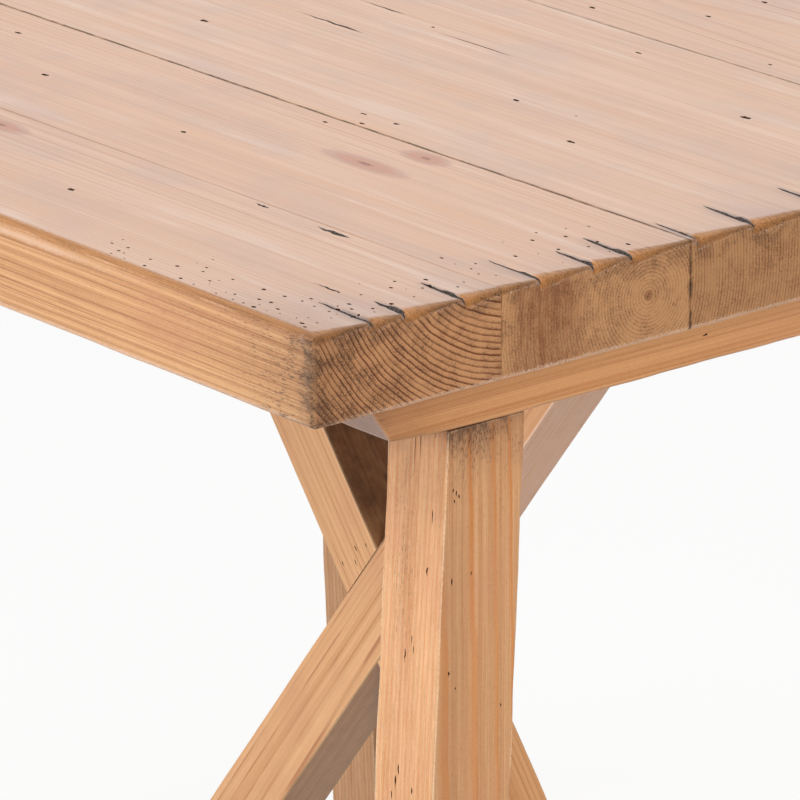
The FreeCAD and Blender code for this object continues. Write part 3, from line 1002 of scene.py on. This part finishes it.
def makeBatten(name, side, look, seed):
    node = "end_batten_" + name
    low, high = boxOf(node)
    middle = (low + high) / 2
    rng = np.random.default_rng(seed)

    def shrunk(z):
        # undercut ends: the length shrinks evenly from the top face down
        return 1 - (high[2] - z) * tan(look["undercut"]) / high[1]

    # worn ends rise, most at the lower edge of the end, dying away along the batten and up its height
    points, quads = wornBar(low, high, look, seed)
    x, y, z = points.T
    z += fade(high[1] - np.abs(y), look["nose"]) * (high[2] - z) / (high[2] - low[2])
    y *= shrunk(z)
    # the pale colour along the batten's arrises is a painted highlight
    wood = pineMaterial("batten pine " + name, dict(
        barColours, grain=alongY, across=alongX, spacing=look["spacing"], ringShow=0.25, arrisWidth=1.4,
        honeyAndHighlightShow=0.55, honeyAndHighlight=shade(246, 214, 180), speckShow=0.5, pith=(middle[0] + 20, middle[2] + 95),
        seed=seed * 0.37))
    piece = newPiece("worn_batten_" + name, points, quads, wood)
    face = high[0] if side > 0 else low[0]
    dents = [nick((face, side * place, level), alongY, (side, 0, 0), length, width, look["dentDepth"], rng)
             for place, level, length, width in look["dents"]]
    cutAway(piece, screwHoles("batten_screws", side, low[2]) + dents, hollowWood)
    points = vertices(piece)
    x, y, z = points.T
    y /= shrunk(z)
    fromEnd = high[1] - np.abs(y)
    onEnd = fromEnd < 1.2
    # ash on the undercut end grain: grey bloom and painted cool bounce light
    brush(piece, edgeGap=edgeGap(points, low, high), ash=look["ash"] * onEnd,
          stained=fade(fromEnd, look["stain"]) * ~onEnd, dirt=hump(fromEnd - 4, look["dirt"]))
    finishPiece(piece, node)


for name, side in (("right", 1), ("left", -1)):
    makeBatten(name, side, battenWear, 60 + side)
print("battens made")

legWear = {
    "steps": ((0.7, 3.5, 5.0), (0.7, 3.5, 5.0), (1.2, 6.0, 8.0)),
    "arris": 1.7,
    "wear": 0.5,
    "ripple": 0.5,
    "width": 52.0,
    "splay": radians(2.4),  # of the inner face
    "flare": radians(0.5),  # more on the outer face
    "spacing": 3.6,
    "nickDepth": 2.2,
    "nickCount": 8,  # at random places on the other posts
    "nickRange": ((0.1, 30, 3, 0.8), (0.9, 600, 9, 1.9)),
    "endDirt": (2.2, 18.0),  # strength and reach below the batten
    "sideDirt": (0.8, 18.0),
    "endSoil": (0.35, 14.0),
    # stain and painted shade below the batten: on the end face, on the long faces and at the corner beside
    # the end
    "endStain": (0.55, 16.0),
    "sideStain": (0.3, 60.0),
    "cornerStain": (0.7, 7.0),
    # painted shade all over the posts: none on the front ones, a little on the back ones
    "frontStain": 0.0,  # all over the posts
    "backStain": 0.1,
}

# nicks in the front right post: share of the face's width from its left edge, distance below the batten,
# length and width, on the front face and on the end face
frontNicks = [
    (0.46, 16, 26, 0.7), (0.55, 12, 18, 1), (0.74, 79, 6, 1.8), (0.79, 49, 11, 0.9),
    (0.54, 119, 6, 0.9), (0.57, 124, 5, 0.9), (0.44, 129, 9, 1.4), (0.40, 193, 8, 1.8),
    (0.36, 200, 9, 1.9), (0.64, 201, 5, 1.6), (0.30, 208, 6, 1.3),
]
endNicks = [
    (0.10, 33, 3, 1.4), (0.14, 35, 4, 1.4), (0.18, 37, 3, 1.6), (0.12, 39, 3, 1.2),
    (0.13, 83, 6, 1.6), (0.38, 81, 3, 1.2), (0.14, 133, 3.5, 2), (0.235, 142, 2, 1.2),
    (0.83, 159, 3, 1.2),
]


def makeLeg(side, end, look, seed):
    node = "leg_%s_%s" % (side, end)
    low, high = boxOf(node)
    rng = np.random.default_rng(seed)
    outward = -1 if side == "front" else 1
    facing = 1 if end == "right" else -1
    shoulder = boxOf("end_batten_" + end)[0][2]
    runIn = tan(look["splay"])
    runOut = tan(look["splay"] + look["flare"])
    outer = (low[1] if outward < 0 else high[1]) - outward * runOut * (shoulder - low[2])
    inner = outer - outward * look["width"]
    blockLow = np.array([low[0], min(outer, inner), low[2]])
    blockHigh = np.array([high[0], max(outer, inner), shoulder])
    middle = (blockLow + blockHigh) / 2
    face = high[0] if facing > 0 else low[0]

    def slide(points, way):
        # upright block at the shoulder; every level slides outwards with its depth below it,
        # the outer face a little faster than the inner one
        x, y, z = points.T
        drop = shoulder - z
        stretch = 1 + (runOut - runIn) * drop / look["width"]
        run = outward * runIn * drop
        y[:] = inner + (run + (y - inner) * stretch if way > 0 else (y - inner - run) / stretch)
        return points

    points, quads = wornBar(blockLow, blockHigh, look, seed)
    # the pale cream along the post's arrises is a painted highlight
    wood = pineMaterial("leg pine %s %s" % (side, end), dict(
        barColours, grain=tuple(Vector((0, -outward * runOut, 1)).normalized()), across=alongX, rise=alongY,
        pith=(middle[0] + facing * 193, outer + outward * 22), spacing=look["spacing"],
        late=shade(222, 138, 58), pale=shade(237, 191, 148), ringShow=0.75, lineFrom=0.7, arrisWidth=1.3,
        honeyAndHighlight=shade(255, 232, 200), seed=seed * 0.53))
    piece = newPiece("worn_leg_%s_%s" % (side, end), slide(points, 1), quads, wood)

    # small nicks along the grain, on the outer long face and on the end face
    nicks = (frontNicks, endNicks)
    if node != "leg_front_right":
        nicks = [rng.uniform(*look["nickRange"], (look["nickCount"], 4)) for each in range(2)]
    parts = []
    for share, drop, length, width in nicks[0]:
        spot = (blockLow[0] + share * (blockHigh[0] - blockLow[0]), outer, shoulder - drop)
        parts.append(nick(spot, upward, (0, outward, 0), length, width, look["nickDepth"], rng))
    for share, drop, length, width in nicks[1]:
        spot = (face, outer - outward * share * look["width"], shoulder - drop)
        parts.append(nick(spot, upward, (facing, 0, 0), length, width, look["nickDepth"], rng))
    cutAway(piece, [(slide(points, 1), faces) for points, faces in parts], hollowWood)

    # dirt, and stain with painted shade, below the batten, a streak down the long face, and painted shade all
    # over the back posts
    points = slide(vertices(piece), -1)
    x, y, z = points.T
    drop = shoulder - z
    onEnd = np.abs(x - face) < 1.5
    nearEnd = np.clip((facing * (x - middle[0]) + 6) / 18, 0, 1)
    share = (x - blockLow[0]) / (blockHigh[0] - blockLow[0])
    streaked = hump(share - 0.35, (1.0, 0.2)) * hump(drop - 70, (1.0, 60.0))
    inward = outward * (outer - y) / look["width"]
    dirt = fade(drop, (np.where(onEnd, look["endDirt"][0], look["sideDirt"][0]), look["endDirt"][1]))
    shadow = np.maximum(fade(drop, look["endStain"]), 0.16 * np.clip(2.2 - 5 * inward, 0, 1))
    stained = hump(drop, look["sideStain"]) + 0.12 * streaked
    stained = np.maximum(stained, nearEnd * fade(drop, look["cornerStain"])) + look["%sStain" % side]
    brush(piece, edgeGap=edgeGap(points, blockLow, blockHigh), dirt=dirt + 0.1 + 0.6 * streaked * ~onEnd,
          soil=onEnd * fade(drop, look["endSoil"]), stained=np.where(onEnd, shadow, stained))
    finishPiece(piece, node)


for count, (side, end) in enumerate((s, e) for s in ("front", "back") for e in ("right", "left")):
    makeLeg(side, end, legWear, 71 + 5 * count)
print("posts made")

sawbuckWear = {
    "steps": ((0.7, 3.5, 5.0), (0.7, 3.5, 5.0), (1.2, 6.0, 8.0)),
    "arris": 1.4,
    "wear": 0.35,
    "ripple": 0.4,
    "width": 45.0,
    "lean": radians(37.7),
    "crossing": 317.0,  # below the cleats
    "spacing": 3.2,
    "dents": {  # on the front face: place, level, length and width
        "left": [(-12.1, 397.6, 5, 1.6), (-12.2, 388.6, 5, 1.4),
                 (-24.6, 384.4, 4, 1.4), (-2.6, 402.2, 4, 1.4)],
        "right": [(40, 414, 6, 1.2)],
    },
    "dentDepth": 1.8,
    # painted shade: on the face that looks up under the top, and on the face that looks down below the
    # crossing
    "upperStain": 0.8,  # above the crossing, on the face that looks up
    "lowerStain": 0.34,  # below it, on the face that looks down
    # a paler face that looks down, above the crossing: painted bounce light
    "torn": 0.95,
}


def makeSawbuck(name, rise, lapSide, look, seed):
    node = "sawbuck_leg_rising_" + name
    low, high = boxOf(node)
    shoulder = boxOf("sawbuck_cleat_right")[0][2]
    run = rise * tan(look["lean"])
    half = look["width"] / cos(look["lean"]) / 2
    cross = shoulder - look["crossing"]
    middle = (low[0] + half if rise > 0 else high[0] - half) + run * (cross - low[2])
    blockLow = np.array([middle - half, low[1], low[2]])
    blockHigh = np.array([middle + half, high[1], shoulder])
    points, quads = wornBar(blockLow, blockHigh, look, seed)
    # every level slides along X with its height over the crossing
    points[:, 0] += run * (points[:, 2] - cross)
    grain = tuple(Vector((run, 0, 1)).normalized())
    # the stain colour of the sawbuck legs is painted shade, their torn colour painted bounce light, and their
    # pale arris line a painted highlight
    wood = pineMaterial("sawbuck pine " + name, dict(
        barColours, grain=grain, across=alongY, rise=tuple(Vector((1, 0, -run)).normalized()),
        pith=(80.0 * lapSide, -180.0 * rise), fibreShow=0.22, spacing=look["spacing"], seed=seed * 0.41,
        pale=shade(246, 198, 150), dark=shade(206, 146, 94), late=shade(174, 100, 62),
        stained=shade(70, 40, 22), torn=shade(252, 220, 204), ringShow=0.85, lineFrom=0.72, broken=0.65,
        dashShow=0.06, honeyAndHighlightShow=0.4))
    piece = newPiece("worn_sawbuck_" + name, points, quads, wood)

    # half lap: the other leg's outline, over half the thickness
    tall = half / tan(look["lean"]) + 20
    level = np.array([cross - tall, cross + tall])[:, None]
    sideways = np.array([-half, half, half, -half])
    depth = np.array([0.0, 0.0, 1.0, 1.0]) * lapSide * (high[1] + 5)
    cutAway(piece, [skin(middle + sideways - run * (level - cross), depth, level)], wood)
    rng = np.random.default_rng(seed)
    dents = [nick((place, low[1], level), grain, (0, -1, 0), length, width, look["dentDepth"], rng)
             for place, level, length, width in look["dents"][name]]
    cutAway(piece, dents, hollowWood)
    points = vertices(piece)
    x, y, z = points.T
    x -= run * (z - cross)
    faces = (x < blockLow[0] + 1.5, x > blockHigh[0] - 1.5)
    upper, lower = faces if rise > 0 else faces[::-1]
    above = np.clip((z - cross) / 60, 0, 1)
    # painted shade above the crossing on the upper face and below it on the lower face, painted bounce light
    # on the lower face above it
    stained = look["upperStain"] * upper * above + look["lowerStain"] * lower * (1 - above) * (rise > 0)
    brush(piece, edgeGap=edgeGap(points, blockLow, blockHigh), stained=stained,
          torn=look["torn"] * lower * above * (rise > 0))
    finishPiece(piece, node)


makeSawbuck("right", 1, 1, sawbuckWear, 95)
makeSawbuck("left", -1, -1, sawbuckWear, 103)
print("sawbuck legs made")

cleatWear = {
    "steps": ((1.0, 5.0, 6.0), (1.2, 8.0, 8.0), (1.0, 4.0, 6.0)),
    "arris": 3.0,
    "wear": 0.3,
    "ripple": 0.3,
    "spacing": 3.0,
}


def makeCleat(name, side, look, seed):
    node = "sawbuck_cleat_" + name
    low, high = boxOf(node)
    middle = (low + high) / 2
    wood = pineMaterial("cleat pine " + name, dict(
        barColours, grain=alongY, across=alongX, spacing=look["spacing"],
        pith=(middle[0] - 30, middle[2] + 80), seed=seed * 0.29))
    piece = newPiece("worn_cleat_" + name, *wornBar(low, high, look, seed), wood)
    cutAway(piece, screwHoles("cleat_screws", side, low[2]), hollowWood)
    brush(piece, edgeGap=edgeGap(vertices(piece), low, high))
    finishPiece(piece, node)


for name, side in (("right", 1), ("left", -1)):
    makeCleat(name, side, cleatWear, 120 + side)
print("cleats made")


# Pegs, tongues, screws and glides keep their solids; each finish belongs to a word in the nodes' names
woody = ((0.3, 0.7), (0.5, 0.15), {})
smallParts = {
    "peg": ("oak peg", shade(190, 142, 96), shade(150, 102, 62), (20.0, 900.0, 900.0), *woody),
    "spline": ("beech tongue", shade(206, 160, 118), shade(180, 130, 88), (20.0, 700.0, 700.0), *woody),
    "screws": ("zinc screw", shade(188, 188, 184), shade(140, 134, 122), (350.0,) * 3, (0.4, 0.7),
               (0.3, 0.25), {"Metallic": 1.0}),
    "glide": ("brown nylon", shade(74, 56, 44), shade(104, 86, 72), (240.0,) * 3, (0.45, 0.75),
              (0.45, 0.2), {}),
}
for word, finish in smallParts.items():
    material = mottled(*finish)
    for node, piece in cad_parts.items():
        if word in node:
            piece.data.materials.clear()
            piece.data.materials.append(material)
print("small parts finished")
